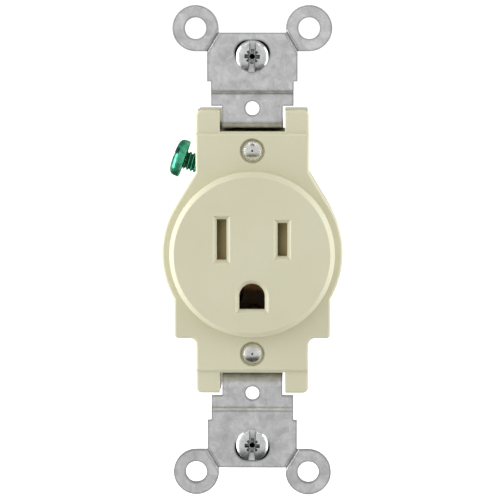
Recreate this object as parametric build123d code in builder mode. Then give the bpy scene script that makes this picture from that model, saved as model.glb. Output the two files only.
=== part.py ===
from build123d import *
from math import cos, radians, sin, sqrt
import os

# A single tamper-resistant wall receptacle with a wrap-around steel strap, as separate pieces.
#
# Millimetres. X runs across the device, Y runs from the face (-Y) into the wall box (+Y), Z is up.
# The origin is midway between the two box screws, on the back plane of the strap's ears, which
# is the plane that rests on the wall. A "y" in a name is a place along the depth.

# Steel strap, one bent strip: end plate, joggle, neck, leg, rear bar, leg, neck, joggle, end plate
STRAP_T = 1.2
UPPER_BEND_R, LOWER_BEND_R, BAR_BEND_R = 0.9, 2.2, 0.9  # to the middle of the sheet
JOGGLE_DEPTH, JOGGLE_RUN = 0.8, 0.65  # the neck lies behind the end plate, past a coined slope
JOGGLE_Z = 33.8
LEG_Z = 26.05  # the side of each leg that faces the body
REAR_BAR_Y = 21.6  # the side of the rear bar that faces the body
PLATE_HALF_X, PLATE_END_Z = 9.45, 45.95
STEP_HALF_X, STEP_Z = 8.65, 35.8
NECK_HALF_X, NECK_Z = 6.38, 30.65
EAR_X, EAR_Z, EAR_R, EAR_HOLE_R = 11.87, 46.88, 4.8, 2.25
SCORE_DEPTH = 0.4  # the V grooves along which the ears break off
BOX_SLOT_Z, BOX_SLOT_LENGTH, BOX_SLOT_WIDTH = 41.67, 7.4, 5.5
PLATE_HOLE_Z, PLATE_HOLE_R = 30.1625, 1.45  # threaded for the wall plate's screws

# Cover: a flange in the body's outline, a raised round face and four lugs beside the strap
FACE_Y, FLANGE_Y, LUG_Y, COVER_BACK_Y = -5.6, -1.9, -1.3, 5.0
ROUND_Z = -0.35  # the middle of the round face and of the round part of the outline
FACE_R, FACE_RIM, FACE_RIM_EDGE = 17.35, 1.0, 0.25
FACE_WALL = 2.2
CAVITY_R = 15.7
BODY_R = 19.05  # the round middle of the outline
BODY_HALF_X = 11.9  # the straight ends of the outline
FLARE_Z = 16.7  # where the straight upper end meets the flare
SHOULDER_HALF_X, SHOULDER_Z = 16.5, -18.3
SHOULDER_INNER_R, SHOULDER_OUTER_R = 1.3, 0.9
LUG_END_ZS, LUG_STEP_ZS, LUG_CORNER_R = (29.8, -30.0), (24.9, -25.25), 1.3
RECESS_HALF_X, RECESS_ZS = 6.85, (25.3, -25.65)  # the notches between two lugs, for the strap
EDGE_FILLET, NOTCH_FILLET, STEP_CHAMFER = 0.55, 0.3, 0.4

# Blade slots and ground hole, as the plug needs them
BLADE_X, BLADE_Z = 6.35, 2.9
SLOT_WIDTH, NEUTRAL_SLOT_HEIGHT, HOT_SLOT_HEIGHT = 2.0, 8.5, 6.95
GROUND_Z, GROUND_HOLE_R, GROUND_FLAT = -9.0, 2.68, 2.78
MOUTH_CHAMFER = 0.8

# Rear body
BODY_BACK_Y = REAR_BAR_Y
BODY_INSET = 0.25  # the rear body's outline lies this far inside the cover's
WAIST_HALF_X = 10.9  # its lower end, which leaves room for the side terminals
SHELF_Z = -9.45  # where the round middle ends and the waist begins
FLOOR_Y = 19.6
WALL = 1.6
CHAMBER_R, CHAMBER_TOP_Z = 16.9, 11.5
LOWER_HALF_X, LOWER_BOTTOM_Z = 9.2, -18.2
RIB_T = 1.0
RIB_Z = -2.7  # the rib between the line contacts and the ground contact
GROUND_RIB_X = 4.8  # the ribs on either side of the ground contact
SLOT_GAP = 0.2  # room round each metal piece in its slot
END_POCKET_X, END_POCKET_WIDTH = 6.2, 5.6
END_POCKET_TOP_Z, END_POCKET_TOP_HEIGHT = 18.4, 10.4
END_POCKET_BOTTOM_Z, END_POCKET_BOTTOM_HEIGHT = -21.8, 4.0

# Rivets through cover, body and strap
RIVET_ZS = (21.28, -21.58)
RIVET_R, RIVET_HEAD_R, RIVET_HEAD_H = 1.55, 2.3, 1.1
COUNTERBORE_R, COUNTERBORE_DEPTH = 2.65, 0.9
RIVET_HOLE_R = 1.65
RIVET_TAIL_R, RIVET_TAIL_H = 2.2, 0.7
DIMPLE = 0.25

# Screws: 6-32 into the wall box, 8-32 at the three terminals
BOX_SCREW_Z, BOX_SCREW_R, BOX_HEAD_R, BOX_HEAD_H, BOX_SCREW_LENGTH = 41.0, 1.75, 3.4, 1.7, 19.0
SCREW_R, SCREW_HEAD_R, SCREW_HEAD_H = 2.05, 4.02, 2.1
TERMINAL_SCREW_LENGTH, GROUND_SCREW_LENGTH = 6.0, 7.5
DRIVER_SLOT_WIDTH, DRIVER_SLOT_DEPTH = 1.3, 0.9
THREAD_CLEARANCE = 0.04
SEAT_GAP = 0.05

# Retaining washers behind the box slots
WASHER_R, WASHER_T, WASHER_GAP = 4.4, 0.9, 0.1

# Side terminals, one each side at the waist
TERMINAL_X, TERMINAL_Y, TERMINAL_Z = 11.55, 11.0, -14.2
TERMINAL_HEIGHT, TERMINAL_DEPTH = 8.0, 9.0
TERMINAL_TRAVEL = 2.3  # how far each side screw can be driven in

# Green ground screw and its bracket, tilted in the XZ plane
GROUND_TILT = radians(20)
GROUND_SCREW_Y = 9.4
GROUND_HEAD_X, GROUND_HEAD_Z = -15.85, 19.4  # the middle of the head
GROUND_HEAD_H = 2.5
BRACKET_T, BRACKET_HALF = 1.2, 4.2
BRACKET_DISTANCE = 5.6  # from the middle of the head to the middle of the bracket's tab
BRACKET_FRONT_Y, BRACKET_FOOT_LENGTH = 5.3, 11.0
BRACKET_PAD_X, BRACKET_PAD_Z, BRACKET_PAD_WIDTH, BRACKET_PAD_HEIGHT = -0.7, 20.4, 7.6, 8.2
GROUND_TIP_REACH = 7.4  # from the tab to the end of the bore for the screw's tip

# Line contacts: a strip along the side wall, a clip round the blade and a terminal outside
CONTACT_T = 0.8
CONTACT_BEND_R = 0.6
CLIP_HALF_GAP, CLIP_BACK_Y, CLIP_FRONT_Y = 1.0, 17.4, 6.2
CLIP_HALF_HEIGHT = 3.2
STRIP_FRONT_Y, STRIP_BACK_Y = 11.2, 15.2
JOG_TOP_Z, JOG_BOTTOM_Z = -4.0, -6.8  # where the strip runs out to the terminal

# Ground contact: a foot on the strap and three leaves round the round pin
GROUND_LEAF_GAP, GROUND_LEAF_FRONT_Y = 2.4, 6.0
GROUND_LEAF_HALF, GROUND_TOP_LEAF_HALF = 2.2, 1.9
GROUND_FOOT_T = 1.0
FOOT_HALF_X, FOOT_MIDDLE_Z, FOOT_HEIGHT = 3.9, -11.0, 12.6
FOOT_RIVET_Z, FOOT_RIVET_R, FOOT_RIVET_HEAD_R, FOOT_RIVET_HEAD_H = -15.2, 1.1, 1.8, 0.6

# Shutter: a slider between the face and a retainer, with two ramps and two windows
SHUTTER_TRAVEL = 3.0
SLIDER_FRONT_Y, SLIDER_T = -3.35, 2.5
SLIDER_LEFT_X, SLIDER_RIGHT_X = -12.1, 8.4
SLIDE_GAP = 0.1
WINDOW_WIDTH, RAMP_LENGTH, RAMP_DEPTH = 2.4, 2.9, 2.1
RETAINER_Y, RETAINER_T = -0.8, 1.6
RETAINER_BACK_Y = RETAINER_Y + RETAINER_T
FRAME_HALF_X, FRAME_HALF_Z, FRAME_CORNER_R = 12.6, 4.75, 2.0
SPRING_R, SPRING_WIRE_R, SPRING_TURNS = 0.85, 0.13, 4
SPRING_POCKET = 0.8  # how deep the spring sits in the slider's end
SPRING_Y = SLIDER_FRONT_Y + SLIDER_T / 2

os.makedirs("parts", exist_ok=True)


def facing(y):
    """The XZ plane at depth y, seen from the front: local x is X and local y is Z."""
    return Plane.XZ.offset(-y)


def save(part, name):
    part.label = name
    export_step(part, f"parts/{name}.step")


# The tilted frame of the ground screw: "inward" runs along its shank, "across" is square to it
inward = Vector(cos(GROUND_TILT), 0, -sin(GROUND_TILT))
across = Vector(sin(GROUND_TILT), 0, cos(GROUND_TILT))
ground_head = Vector(GROUND_HEAD_X, GROUND_SCREW_Y, GROUND_HEAD_Z)
tab_centre = Vector(GROUND_HEAD_X, 0, GROUND_HEAD_Z) + inward * BRACKET_DISTANCE

rivet_places = [(0, z) for z in RIVET_ZS]

# The flare: a straight line from the upper corner of the outline, tangent to its round middle
flare_height = FLARE_Z - ROUND_Z
corner_distance = sqrt(BODY_HALF_X**2 + flare_height**2)
tangent_length = sqrt(corner_distance**2 - BODY_R**2)
along_corner = Vector(BODY_HALF_X, flare_height) * (BODY_R / corner_distance) ** 2
beside_corner = Vector(flare_height, -BODY_HALF_X) * (BODY_R * tangent_length / corner_distance**2)
flare_end = Vector(0, ROUND_Z) + along_corner + beside_corner


def round_and_flare(inset):
    """The round middle and the straight upper end with its flares, drawn in by inset."""
    half_x = BODY_HALF_X - inset
    with BuildSketch() as outline:
        with Locations((0, ROUND_Z)):
            Circle(BODY_R - inset)
        Polygon(
            (half_x, LUG_END_ZS[0]),
            (half_x, FLARE_Z),
            (flare_end.X - inset, flare_end.Y),
            (inset - flare_end.X, flare_end.Y),
            (-half_x, FLARE_Z),
            (-half_x, LUG_END_ZS[0]),
            align=None,
        )
    return outline.sketch


def both_ends(zs, half_x):
    """Everything above the first z and below the second, half_x to either side."""
    with BuildSketch() as ends:
        for z, outward in zip(zs, (Align.MIN, Align.MAX)):
            with Locations((0, z)):
                Rectangle(2 * half_x, BODY_R, align=(Align.CENTER, outward))
    return ends.sketch


def at_place(places, tolerance=0.01):
    """A filter that keeps the vertices at the given X and Y, on either side of X = 0."""
    return lambda v: any(
        abs(abs(v.X) - x) < tolerance and abs(v.Y - y) < tolerance for x, y in places
    )


# Mounting strap
with BuildPart() as mounting_strap:
    with BuildSketch(Plane.YZ):
        with BuildLine():
            plate_y = -STRAP_T / 2
            neck_y = plate_y + JOGGLE_DEPTH
            bar_y = REAR_BAR_Y + STRAP_T / 2
            leg_z = LEG_Z + STRAP_T / 2
            end_z = EAR_Z + EAR_R + 1
            upper = [
                (plate_y, end_z),
                (plate_y, JOGGLE_Z + JOGGLE_RUN / 2),
                (neck_y, JOGGLE_Z - JOGGLE_RUN / 2),
                (neck_y, leg_z),
                (bar_y, leg_z),
            ]
            lower = [(y, -z) for y, z in reversed(upper)]
            # The joggle's corners are coined sharp, and the legs' corners are bent
            upper_radii = [0, 0, UPPER_BEND_R, BAR_BEND_R]
            lower_radii = [BAR_BEND_R, LOWER_BEND_R, 0, 0]
            FilletPolyline(*upper, *lower, radius=upper_radii + lower_radii)
        trace(line_width=STRAP_T)
    extrude(amount=EAR_X + EAR_R + 1, both=True)
    with BuildSketch(facing(REAR_BAR_Y + 2 * STRAP_T)) as strap_outline:
        Rectangle(2 * NECK_HALF_X, 2 * PLATE_END_Z)
        for side in (1, -1):
            with Locations((0, side * (NECK_Z + PLATE_END_Z) / 2)):
                Rectangle(2 * STEP_HALF_X, PLATE_END_Z - NECK_Z)
            with Locations((0, side * (STEP_Z + PLATE_END_Z) / 2)):
                Rectangle(2 * PLATE_HALF_X, PLATE_END_Z - STEP_Z)
        with GridLocations(2 * EAR_X, 2 * EAR_Z, 2, 2):
            Circle(EAR_R)
        with GridLocations(2 * EAR_X - EAR_R, 2 * EAR_Z - EAR_R, 2, 2):
            Rectangle(EAR_R, EAR_R)
        with GridLocations(2 * EAR_X, 2 * EAR_Z, 2, 2):
            Circle(EAR_HOLE_R, mode=Mode.SUBTRACT)
        with GridLocations(1, 2 * BOX_SLOT_Z, 1, 2):
            SlotOverall(BOX_SLOT_LENGTH, BOX_SLOT_WIDTH, mode=Mode.SUBTRACT)
        with GridLocations(1, 2 * PLATE_HOLE_Z, 1, 2):
            Circle(PLATE_HOLE_R, mode=Mode.SUBTRACT)
        with Locations(*rivet_places):
            Circle(RIVET_HOLE_R, mode=Mode.SUBTRACT)
        with Locations((0, FOOT_RIVET_Z)):
            Circle(FOOT_RIVET_R + THREAD_CLEARANCE, mode=Mode.SUBTRACT)
    extrude(amount=REAR_BAR_Y + 4 * STRAP_T, mode=Mode.INTERSECT)
    # V grooves where the ears meet the plate
    groove_inner = Vector(EAR_X - EAR_R, PLATE_END_Z + 0.2)
    groove_outer = Vector(PLATE_HALF_X + 0.1, EAR_Z - EAR_R)
    groove_run = groove_outer - groove_inner
    for across_x in (1, -1):
        for across_z in (1, -1):
            start = Vector(across_x * groove_inner.X, -STRAP_T, across_z * groove_inner.Y)
            run = Vector(across_x * groove_run.X, 0, across_z * groove_run.Y)
            with BuildSketch(Plane(start - run * 0.1, x_dir=(0, 1, 0), z_dir=run)):
                Rectangle(SCORE_DEPTH * sqrt(2), SCORE_DEPTH * sqrt(2), rotation=45)
            extrude(amount=groove_run.length * 1.2, mode=Mode.SUBTRACT)
save(mounting_strap.part, "mounting_strap")


def front_facing(face):
    return face.normal_at().Y < -0.99


def in_notch(edge):
    """Whether an edge of the cover's front runs round one of the notches."""
    upper_z, lower_z = RECESS_ZS
    beyond = not lower_z + 0.1 < edge.center().Z < upper_z - 0.1
    return beyond and abs(edge.center().X) < RECESS_HALF_X + 0.1


def at_step(edge):
    """Whether an edge of the cover's front runs along a step from the flange to the lugs."""
    return any(-0.01 < (z - edge.center().Z) * z < 2 * STEP_CHAMFER * abs(z) for z in LUG_STEP_ZS)


# Front cover
with BuildSketch() as cover_outline:
    add(round_and_flare(0))
    Rectangle(2 * BODY_HALF_X, -LUG_END_ZS[1], align=(Align.CENTER, Align.MAX))
    with Locations((0, SHOULDER_Z / 2)):
        Rectangle(2 * SHOULDER_HALF_X, -SHOULDER_Z)
    inner_corner = at_place([(BODY_HALF_X, SHOULDER_Z)])
    fillet(cover_outline.vertices().filter_by(inner_corner), SHOULDER_INNER_R)
    outer_corner = at_place([(SHOULDER_HALF_X, SHOULDER_Z)])
    fillet(cover_outline.vertices().filter_by(outer_corner), SHOULDER_OUTER_R)
    lug_corners = at_place([(BODY_HALF_X, z) for z in LUG_END_ZS])
    fillet(cover_outline.vertices().filter_by(lug_corners), LUG_CORNER_R)
    add(both_ends(RECESS_ZS, RECESS_HALF_X), mode=Mode.SUBTRACT)

with BuildPart() as front_cover:
    with BuildSketch(facing(COVER_BACK_Y)):
        add(cover_outline.sketch)
    extrude(amount=COVER_BACK_Y - FLANGE_Y)
    # The lugs stand a step lower than the flange
    with BuildSketch(facing(LUG_Y)):
        add(both_ends(LUG_STEP_ZS, 2 * BODY_HALF_X))
    extrude(amount=LUG_Y - FLANGE_Y, mode=Mode.SUBTRACT)
    step_edges = front_cover.edges().filter_by(at_step)
    chamfer(step_edges.filter_by(lambda edge: abs(edge.center().Y - FLANGE_Y) < 0.01), STEP_CHAMFER)
    front_edges = front_cover.faces().filter_by(front_facing).edges()
    outer_edges = front_edges.filter_by(at_step, reverse=True)
    fillet(outer_edges.filter_by(in_notch, reverse=True), EDGE_FILLET)
    notch_edges = front_cover.faces().filter_by(front_facing).edges().filter_by(in_notch)
    fillet(notch_edges, NOTCH_FILLET)
    with BuildSketch(facing(FLANGE_Y)):
        with Locations((0, ROUND_Z)):
            Circle(FACE_R)
    extrude(amount=FLANGE_Y - FACE_Y)
    # The face's rim is a broad chamfer with softened edges
    chamfer(front_cover.edges().filter_by(GeomType.CIRCLE).group_by(Axis.Y)[0], FACE_RIM)
    rim_edges = front_cover.edges().filter_by(
        lambda e: e.geom_type == GeomType.CIRCLE and e.center().Y < FACE_Y + FACE_RIM + 0.01
    )
    fillet(rim_edges, FACE_RIM_EDGE)
    with BuildSketch(facing(COVER_BACK_Y)):
        with Locations((0, ROUND_Z)):
            Circle(CAVITY_R)
    extrude(amount=COVER_BACK_Y - FACE_Y - FACE_WALL, mode=Mode.SUBTRACT)
    # Blade slots and ground hole, each with a chamfered mouth
    with BuildSketch(facing(FACE_Y)):
        with Locations((-BLADE_X, BLADE_Z)):
            Rectangle(SLOT_WIDTH, NEUTRAL_SLOT_HEIGHT)
        with Locations((BLADE_X, BLADE_Z)):
            Rectangle(SLOT_WIDTH, HOT_SLOT_HEIGHT)
        with Locations((0, GROUND_Z)):
            Circle(GROUND_HOLE_R)
        with Locations((0, GROUND_Z - GROUND_FLAT / 2)):
            Rectangle(2 * GROUND_HOLE_R, GROUND_FLAT)
    extrude(amount=-FACE_WALL, mode=Mode.SUBTRACT)
    face = front_cover.faces().filter_by(Axis.Y).sort_by(Axis.Y)[0]
    chamfer([wire.edges() for wire in face.inner_wires()], MOUTH_CHAMFER)
    # Counterbored rivet holes
    with BuildSketch(facing(FLANGE_Y)):
        with Locations(*rivet_places):
            Circle(COUNTERBORE_R)
    extrude(amount=-COUNTERBORE_DEPTH, mode=Mode.SUBTRACT)
    with BuildSketch(facing(COVER_BACK_Y)):
        with Locations(*rivet_places):
            Circle(RIVET_HOLE_R)
    extrude(amount=COVER_BACK_Y - FLANGE_Y, mode=Mode.SUBTRACT)
save(front_cover.part, "front_cover")


def tilted(y):
    """The plane facing the front at depth y, turned so that local x runs along the ground screw."""
    return Plane((tab_centre.X, y, tab_centre.Z), x_dir=inward, z_dir=(0, -1, 0))


def bracket_foot(clearance):
    """The ground bracket's foot, from its tab to the pad under the top rivet."""
    with BuildSketch() as foot:
        Rectangle(BRACKET_FOOT_LENGTH, 2 * (BRACKET_HALF + clearance), align=(Align.MIN, Align.CENTER))
    return foot.sketch


def bracket_pad(clearance):
    """The pad of the ground bracket round the top rivet."""
    with BuildSketch() as pad:
        with Locations((BRACKET_PAD_X, BRACKET_PAD_Z)):
            Rectangle(BRACKET_PAD_WIDTH + 2 * clearance, BRACKET_PAD_HEIGHT + 2 * clearance)
    return pad.sketch


# Rear body
with BuildPart() as rear_body:
    with BuildSketch(facing(BODY_BACK_Y)):
        add(round_and_flare(BODY_INSET))
        with Locations((0, SHELF_Z)):
            Rectangle(3 * BODY_R, BODY_R, align=(Align.CENTER, Align.MAX), mode=Mode.SUBTRACT)
            waist_height = SHELF_Z - LUG_END_ZS[1]
            Rectangle(2 * WAIST_HALF_X, waist_height, align=(Align.CENTER, Align.MAX))
        add(both_ends(RECESS_ZS, RECESS_HALF_X), mode=Mode.SUBTRACT)
    extrude(amount=BODY_BACK_Y - COVER_BACK_Y)
    # The chamber for the contacts, open to the front
    with BuildSketch(facing(FLOOR_Y)):
        with Locations((0, ROUND_Z)):
            Circle(CHAMBER_R)
        with Locations((0, CHAMBER_TOP_Z)):
            Rectangle(3 * BODY_R, BODY_R, align=(Align.CENTER, Align.MIN), mode=Mode.SUBTRACT)
        with Locations((0, SHELF_Z + WALL)):
            Rectangle(3 * BODY_R, BODY_R, align=(Align.CENTER, Align.MAX), mode=Mode.SUBTRACT)
            lower_height = SHELF_Z + WALL - LOWER_BOTTOM_Z
            Rectangle(2 * LOWER_HALF_X, lower_height, align=(Align.CENTER, Align.MAX))
    extrude(amount=FLOOR_Y - COVER_BACK_Y, mode=Mode.SUBTRACT)
    # Cored pockets that keep the ends' walls thin
    with BuildSketch(facing(FLOOR_Y)):
        with Locations((END_POCKET_X, END_POCKET_TOP_Z)):
            Rectangle(END_POCKET_WIDTH, END_POCKET_TOP_HEIGHT)
        with Locations((0, END_POCKET_BOTTOM_Z)):
            with GridLocations(2 * END_POCKET_X, 1, 2, 1):
                Rectangle(END_POCKET_WIDTH, END_POCKET_BOTTOM_HEIGHT)
    extrude(amount=FLOOR_Y - COVER_BACK_Y, mode=Mode.SUBTRACT)
    # Slots in the shelf for the contact strips, and holes at the waist for the terminal screws
    with BuildSketch(facing(STRIP_BACK_Y + SLOT_GAP)):
        with GridLocations(2 * TERMINAL_X, 1, 2, 1):
            Rectangle(CONTACT_T + 2 * SLOT_GAP, -2 * (SHELF_Z - 1))
    extrude(amount=STRIP_BACK_Y + SLOT_GAP - COVER_BACK_Y, mode=Mode.SUBTRACT)
    with BuildSketch(Plane.YZ):
        with Locations((TERMINAL_Y, TERMINAL_Z)):
            Circle(SCREW_R + 0.5)
    extrude(amount=WAIST_HALF_X + 1, both=True, mode=Mode.SUBTRACT)
    # Ribs between the three contacts; the middle ones reach forward and hold the shutter retainer
    with BuildSketch(facing(FLOOR_Y)):
        with GridLocations(2 * GROUND_RIB_X, 1, 2, 1):
            with Locations((0, RIB_Z)):
                Rectangle(RIB_T, RIB_Z - LOWER_BOTTOM_Z, align=(Align.CENTER, Align.MAX))
    extrude(amount=FLOOR_Y - COVER_BACK_Y)
    with BuildSketch(facing(FLOOR_Y)):
        with Locations((0, RIB_Z)):
            Rectangle(2 * GROUND_RIB_X + RIB_T, RIB_T)
            Rectangle(RIB_T, CHAMBER_TOP_Z - RIB_Z, align=(Align.CENTER, Align.MIN))
    extrude(amount=FLOOR_Y - RETAINER_BACK_Y)
    # The ground contact's foot passes through the floor to the strap
    with BuildSketch(facing(BODY_BACK_Y)):
        with Locations((0, FOOT_MIDDLE_Z)):
            Rectangle(2 * (FOOT_HALF_X + SLOT_GAP), FOOT_HEIGHT + 2 * SLOT_GAP)
    extrude(amount=BODY_BACK_Y - FLOOR_Y + RIB_T, mode=Mode.SUBTRACT)
    # Room for the ground bracket: its tab and the screw's head at the side, its foot at the back
    with BuildSketch(tilted(BODY_BACK_Y)):
        with Locations((BRACKET_T / 2 + 2 * SLOT_GAP, 0)):
            recess_height = 2 * (BRACKET_HALF + SLOT_GAP)
            Rectangle(BODY_R, recess_height, align=(Align.MAX, Align.CENTER))
    extrude(amount=BODY_BACK_Y - COVER_BACK_Y, mode=Mode.SUBTRACT)
    with BuildSketch(tilted(BODY_BACK_Y)):
        add(bracket_foot(SLOT_GAP))
    extrude(amount=BRACKET_T, mode=Mode.SUBTRACT)
    with BuildSketch(facing(BODY_BACK_Y)):
        add(bracket_pad(SLOT_GAP))
    extrude(amount=BRACKET_T, mode=Mode.SUBTRACT)
    with BuildSketch(Plane(tab_centre + Vector(0, GROUND_SCREW_Y, 0), z_dir=inward)):
        Circle(SCREW_R + 0.5)
    extrude(amount=GROUND_TIP_REACH, mode=Mode.SUBTRACT)
    with BuildSketch(facing(BODY_BACK_Y)):
        with Locations(*rivet_places):
            Circle(RIVET_HOLE_R)
    extrude(amount=BODY_BACK_Y - COVER_BACK_Y, mode=Mode.SUBTRACT)
save(rear_body.part, "rear_body")

# Ground bracket: a tab beside the body, tapped for the ground screw, and a foot under the strap
with BuildPart() as ground_terminal:
    with BuildSketch(Plane(tab_centre, x_dir=inward, z_dir=across)):
        with BuildLine():
            foot_y = BODY_BACK_Y - BRACKET_T / 2
            bracket_side = [(0, BRACKET_FRONT_Y), (0, foot_y), (BRACKET_FOOT_LENGTH, foot_y)]
            FilletPolyline(*bracket_side, radius=BAR_BEND_R)
        trace(line_width=BRACKET_T)
    extrude(amount=BRACKET_HALF, both=True)
    with BuildSketch(facing(BODY_BACK_Y)):
        add(bracket_pad(0))
    extrude(amount=BRACKET_T)
    with BuildSketch(facing(BODY_BACK_Y)):
        with Locations(rivet_places[0]):
            Circle(RIVET_HOLE_R)
    extrude(amount=BRACKET_T, mode=Mode.SUBTRACT)
    with BuildSketch(Plane(tab_centre + Vector(0, GROUND_SCREW_Y, 0), z_dir=inward)):
        Circle(SCREW_R + THREAD_CLEARANCE)
    extrude(amount=BRACKET_T, both=True, mode=Mode.SUBTRACT)
save(ground_terminal.part, "ground_terminal")


def line_contact():
    """The hot contact; the neutral one is its mirror image."""
    with BuildPart() as contact:
        with BuildSketch(Plane.XY.offset(BLADE_Z - CLIP_HALF_HEIGHT)):
            with BuildLine():
                arm = CLIP_HALF_GAP + CONTACT_T / 2
                half = [
                    (arm + 0.3, CLIP_FRONT_Y),
                    (arm - 0.45, CLIP_FRONT_Y + 1.8),
                    (arm, CLIP_FRONT_Y + 4.8),
                    (arm, CLIP_BACK_Y),
                ]
                left = [(BLADE_X - x, y) for x, y in half]
                right = [(BLADE_X + x, y) for x, y in reversed(half)]
                FilletPolyline(*left, *right, radius=CONTACT_BEND_R)
            trace(line_width=CONTACT_T)
        extrude(amount=2 * CLIP_HALF_HEIGHT)
        with BuildSketch(facing(STRIP_BACK_Y)):
            with BuildLine():
                arm_x = BLADE_X + arm
                FilletPolyline(
                    (arm_x, BLADE_Z),
                    (arm_x, JOG_TOP_Z),
                    (TERMINAL_X, JOG_BOTTOM_Z),
                    (TERMINAL_X, TERMINAL_Z - TERMINAL_HEIGHT / 2),
                    radius=CONTACT_BEND_R,
                )
            trace(line_width=CONTACT_T)
        extrude(amount=STRIP_BACK_Y - STRIP_FRONT_Y)
        with BuildSketch(Plane.YZ.offset(TERMINAL_X - CONTACT_T / 2)):
            with Locations((TERMINAL_Y, TERMINAL_Z)):
                Rectangle(TERMINAL_DEPTH, TERMINAL_HEIGHT)
        extrude(amount=CONTACT_T)
        with BuildSketch(Plane.YZ.offset(TERMINAL_X)):
            with Locations((TERMINAL_Y, TERMINAL_Z)):
                Circle(SCREW_R + THREAD_CLEARANCE)
        extrude(amount=CONTACT_T, both=True, mode=Mode.SUBTRACT)
    return contact


hot_contact = line_contact()
save(hot_contact.part, "hot_contact")
with BuildPart() as neutral_contact:
    mirror(hot_contact.part, about=Plane.YZ)
save(neutral_contact.part, "neutral_contact")

# Ground contact: a foot riveted to the strap, two side leaves and a top leaf round the pin
with BuildPart() as ground_contact:
    foot_middle_y = BODY_BACK_Y - GROUND_FOOT_T + CONTACT_T / 2
    leaf = GROUND_LEAF_GAP + CONTACT_T / 2
    with BuildSketch(Plane.XY.offset(GROUND_Z - GROUND_LEAF_HALF)):
        with BuildLine():
            half = [
                (leaf + 0.5, GROUND_LEAF_FRONT_Y),
                (leaf, GROUND_LEAF_FRONT_Y + 1.6),
                (leaf, foot_middle_y),
            ]
            left = [(-x, y) for x, y in half]
            FilletPolyline(*left, *reversed(half), radius=CONTACT_BEND_R)
        trace(line_width=CONTACT_T)
    extrude(amount=2 * GROUND_LEAF_HALF)
    with BuildSketch(Plane.YZ):
        with BuildLine():
            FilletPolyline(
                (GROUND_LEAF_FRONT_Y, GROUND_Z + leaf + 0.5),
                (GROUND_LEAF_FRONT_Y + 1.6, GROUND_Z + leaf),
                (foot_middle_y, GROUND_Z + leaf),
                (foot_middle_y, GROUND_Z),
                radius=CONTACT_BEND_R,
            )
        trace(line_width=CONTACT_T)
    extrude(amount=GROUND_TOP_LEAF_HALF, both=True)
    with BuildSketch(facing(BODY_BACK_Y)):
        with Locations((0, FOOT_MIDDLE_Z)):
            Rectangle(2 * FOOT_HALF_X, FOOT_HEIGHT)
        with Locations((0, FOOT_RIVET_Z)):
            Circle(FOOT_RIVET_R + THREAD_CLEARANCE, mode=Mode.SUBTRACT)
    extrude(amount=GROUND_FOOT_T)
save(ground_contact.part, "ground_contact")


def rivet(seat, head_r, head_h, shank_r, tail_y, tail_r, tail_h):
    """A domed rivet along local x of its seat plane, with a rolled tubular tail."""
    with BuildPart() as pin:
        with BuildSketch(seat):
            with BuildLine():
                Polyline((-head_h + DIMPLE, 0), (-head_h, DIMPLE), (-head_h, 1.5 * DIMPLE))
                edge_x = -0.3 * head_h
                ThreePointArc((-head_h, 1.5 * DIMPLE), (-0.75 * head_h, 0.7 * head_r), (edge_x, head_r))
                Polyline(
                    (edge_x, head_r),
                    (0, head_r),
                    (0, shank_r),
                    (tail_y, shank_r),
                    (tail_y, tail_r),
                    (tail_y + tail_h, 0.8 * tail_r),
                    (tail_y + tail_h, 0.6 * shank_r),
                    (tail_y - tail_h, 0.6 * shank_r),
                    (tail_y - tail_h, 0),
                    (-head_h + DIMPLE, 0),
                )
            make_face()
        revolve(axis=Axis(seat.origin, seat.x_dir))
    return pin


def along_y(y, z):
    """A plane at X = 0 whose local x runs along Y from (y, z)."""
    return Plane((0, y, z), x_dir=(0, 1, 0), z_dir=(1, 0, 0))


cover_seat_y = FLANGE_Y + COUNTERBORE_DEPTH
cover_tail_y = REAR_BAR_Y + STRAP_T - cover_seat_y
for end, rivet_z in zip(("top", "bottom"), RIVET_ZS):
    cover_rivet = rivet(
        along_y(cover_seat_y, rivet_z),
        RIVET_HEAD_R,
        RIVET_HEAD_H,
        RIVET_R,
        cover_tail_y,
        RIVET_TAIL_R,
        RIVET_TAIL_H,
    )
    save(cover_rivet.part, f"cover_rivet_{end}")

foot_seat_y = BODY_BACK_Y - GROUND_FOOT_T
ground_contact_rivet = rivet(
    along_y(foot_seat_y, FOOT_RIVET_Z),
    FOOT_RIVET_HEAD_R,
    FOOT_RIVET_HEAD_H,
    FOOT_RIVET_R,
    GROUND_FOOT_T + STRAP_T,
    FOOT_RIVET_HEAD_R,
    FOOT_RIVET_HEAD_H,
)
save(ground_contact_rivet.part, "ground_contact_rivet")


def screw(seat, head_r, head_h, shank_r, length):
    """A slotted pan-head screw: the seat plane lies under the head, and local x runs to the tip."""
    with BuildPart() as body:
        with BuildSketch(seat):
            with BuildLine():
                Line((-head_h, 0), (-head_h, 0.3 * head_r))
                edge_x = -0.35 * head_h
                ThreePointArc((-head_h, 0.3 * head_r), (-0.8 * head_h, 0.82 * head_r), (edge_x, head_r))
                Polyline(
                    (edge_x, head_r),
                    (0, 0.96 * head_r),
                    (0, shank_r),
                    (length - shank_r / 2, shank_r),
                    (length, shank_r / 2),
                    (length, 0),
                    (-head_h, 0),
                )
            make_face()
        revolve(axis=Axis(seat.origin, seat.x_dir))
        with BuildSketch(Plane(seat.origin - seat.x_dir * head_h, x_dir=seat.y_dir, z_dir=seat.x_dir)):
            Rectangle(2.2 * head_r, DRIVER_SLOT_WIDTH)
        extrude(amount=DRIVER_SLOT_DEPTH, mode=Mode.SUBTRACT)
    return body


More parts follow.
